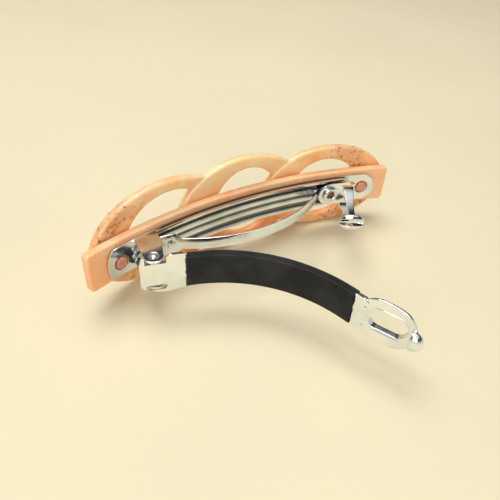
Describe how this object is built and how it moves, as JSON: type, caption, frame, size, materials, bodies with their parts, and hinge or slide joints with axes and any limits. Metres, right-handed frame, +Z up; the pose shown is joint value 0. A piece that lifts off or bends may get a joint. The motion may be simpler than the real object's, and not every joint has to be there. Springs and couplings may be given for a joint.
{
  "type": "barrette",
  "caption": "Hair barrette of linked marbled acetate ovals on an arched bar, with a sprung steel clip whose sleeved arm is open.",
  "frame": {"origin": "middle of the small flat on which the middle oval rests", "axes": "+Z up across the barrette's height as it stands on its long edge, +X along it from the hinge to the catch, -Y towards the clasp side"},
  "size_m": [0.0847, 0.0599, 0.0249],
  "materials": {
    "acetate": "polished translucent marbled cellulose acetate",
    "nickel_steel": "bright nickel-plated pressed steel",
    "spring_steel": "plated spring steel strip",
    "chrome": "polished plated steel",
    "black_sleeve": "matt black soft sleeve"
  },
  "bodies": {
    "clip_base": {"ring_plate": "acetate", "back_bar": "acetate", "stake_left": "acetate", "stake_right": "acetate", "base_plate": "nickel_steel", "tension_bar": "spring_steel", "catch_foot": "nickel_steel", "catch_eyelet": "chrome"},
    "clip_arm": {"arm": "nickel_steel", "arm_sleeve": "black_sleeve", "hinge_nib_upper": "chrome", "hinge_nib_lower": "chrome"},
    "prong_upper": {"catch_prong_upper": "chrome"},
    "prong_lower": {"catch_prong_lower": "chrome"}
  },
  "joints": [
    {"name": "arm_hinge", "type": "hinge", "parent": "clip_base", "child": "clip_arm", "pos_m": [-0.03015, -0.01504, 0.01235], "axis": [0, 0, 1], "range_deg": [0, 42], "deforming": ["tension_bar"]},
    {"name": "prong_upper_pinch", "type": "hinge", "parent": "clip_base", "child": "prong_upper", "pos_m": [0.02625, -0.01054, 0.0151], "axis": [0.843, -0.5379, 0], "range_deg": [0, 1.8], "stiffness_Nm_per_rad": 0.05},
    {"name": "prong_lower_pinch", "type": "hinge", "parent": "clip_base", "child": "prong_lower", "pos_m": [0.02625, -0.01054, 0.0096], "axis": [0.843, -0.5379, 0], "range_deg": [-1.8, 0], "stiffness_Nm_per_rad": 0.05}
  ],
  "couplings": [
    {"joint": "prong_lower_pinch", "follows": "prong_upper_pinch", "ratio": -1}
  ]
}
